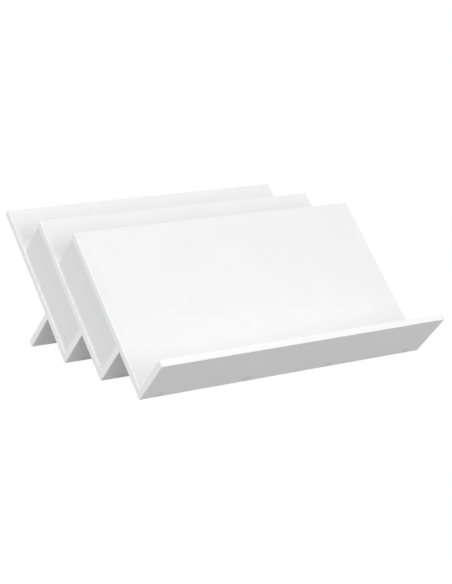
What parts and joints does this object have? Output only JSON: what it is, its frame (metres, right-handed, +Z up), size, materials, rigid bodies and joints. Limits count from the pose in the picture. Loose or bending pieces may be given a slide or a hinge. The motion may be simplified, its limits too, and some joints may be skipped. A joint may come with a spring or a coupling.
{
  "type": "magazine file holder",
  "caption": "Desk-top magazine holder with sloped boards stepped one behind another, square-set lips that form an open front shelf and closed pockets, and end cheeks.",
  "frame": {"origin": "centre of the bounding box's bottom face, level with the flats on the feet", "axes": "+Z up, +X along the width of the boards, -Y to the front where the open shelf is"},
  "size_m": [0.55, 0.5362, 0.2262],
  "materials": {
    "melamine": "white melamine facing on chipboard, fine pearl texture, satin",
    "edge_band": "white ABS edge band, satin",
    "cap": "white moulded polyethylene, matt",
    "zinc": "bright zinc plated steel",
    "beech": "plain turned beech"
  },
  "bodies": {
    "root": {"front_board": "melamine", "middle_board": "melamine", "rear_board": "melamine", "front_lip": "melamine", "middle_lip": "melamine", "rear_lip": "melamine", "rear_leg": "melamine", "left_front_cheek": "melamine", "right_front_cheek": "melamine", "left_rear_cheek": "melamine", "right_rear_cheek": "melamine", "front_board_edging": "edge_band", "middle_board_edging": "edge_band", "rear_board_edging": "edge_band", "front_lip_edging": "edge_band", "middle_lip_edging": "edge_band", "rear_lip_edging": "edge_band", "rear_leg_edging": "edge_band", "cheek_edging": "edge_band", "front_foot_band": "edge_band", "middle_foot_band": "edge_band", "rear_foot_band": "edge_band", "leg_foot_band": "edge_band", "front_lip_screws": "zinc", "middle_lip_screws": "zinc", "rear_lip_screws": "zinc", "front_lip_caps": "cap", "middle_lip_caps": "cap", "rear_lip_caps": "cap", "middle_lip_dowels": "beech", "rear_lip_dowels": "beech", "rear_leg_dowels": "beech", "front_cheek_dowels": "beech", "rear_cheek_dowels": "beech"}
  },
  "joints": []
}
